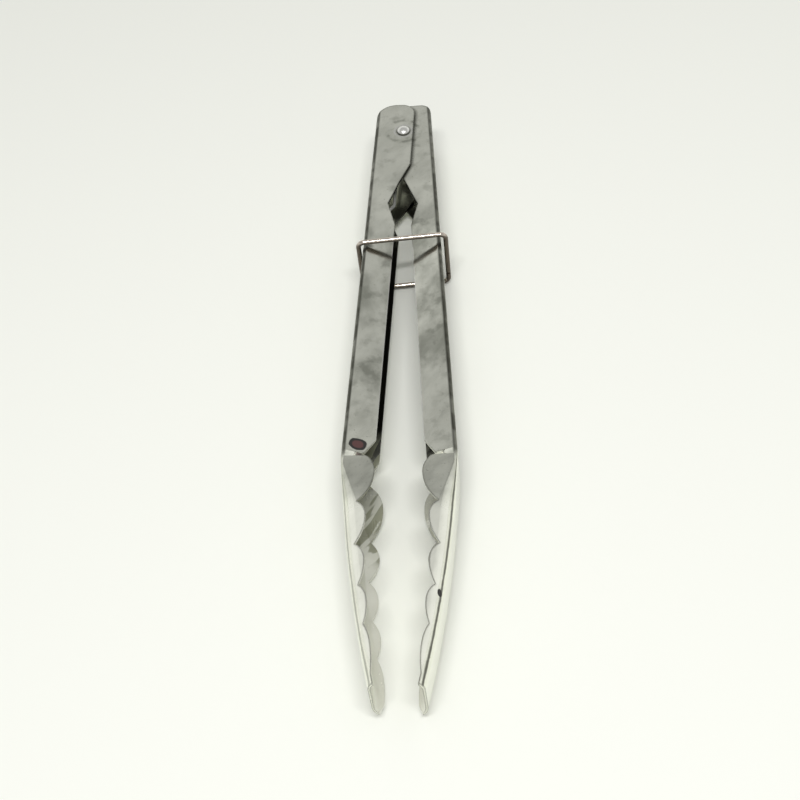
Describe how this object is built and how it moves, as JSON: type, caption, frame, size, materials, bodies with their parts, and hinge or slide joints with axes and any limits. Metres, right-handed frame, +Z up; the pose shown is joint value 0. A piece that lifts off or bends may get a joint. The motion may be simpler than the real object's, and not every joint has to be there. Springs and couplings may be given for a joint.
{
  "type": "kitchen tongs",
  "caption": "Sprung kitchen tongs: two pressed steel channel arms with scalloped jaws on one rivet, and a bent wire lock ring that slides along the handles.",
  "frame": {"origin": "on the pivot axis, in the plane that the tongs lie on, at the flat lower head of the rivet", "axes": "+Z up along the pivot axis, -Y towards the jaws along the middle of the tongs, -X towards the left arm"},
  "size_m": [0.0362, 0.2438, 0.0267],
  "materials": {
    "arm_steel": "bright pressed sheet, dulled by use, with smudges and fine scuffs",
    "rivet_steel": "polished",
    "spring_wire": "drawn wire, dull",
    "ring_wire": "drawn wire, bright"
  },
  "bodies": {
    "left_arm": {"left_arm": "arm_steel", "pivot_rivet": "rivet_steel", "torsion_spring": "spring_wire"},
    "right_arm": {"right_arm": "arm_steel"},
    "lock_ring": {"lock_ring": "ring_wire"}
  },
  "joints": [
    {"name": "arm_pivot", "type": "hinge", "parent": "left_arm", "child": "right_arm", "pos_m": [0, 0, 0.012], "axis": [0, 0, 1], "range_deg": [-2.4, 8], "stiffness_Nm_per_rad": 2, "deforming": ["torsion_spring"]},
    {"name": "ring_slide", "type": "slide", "parent": "left_arm", "child": "lock_ring", "axis": [-0.0436, -0.999, 0], "range_m": [-0.0546, 0.0166]}
  ],
  "couplings": [
    {"joint": "ring_slide", "follows": "arm_pivot", "m_per_rad": -0.3896}
  ]
}
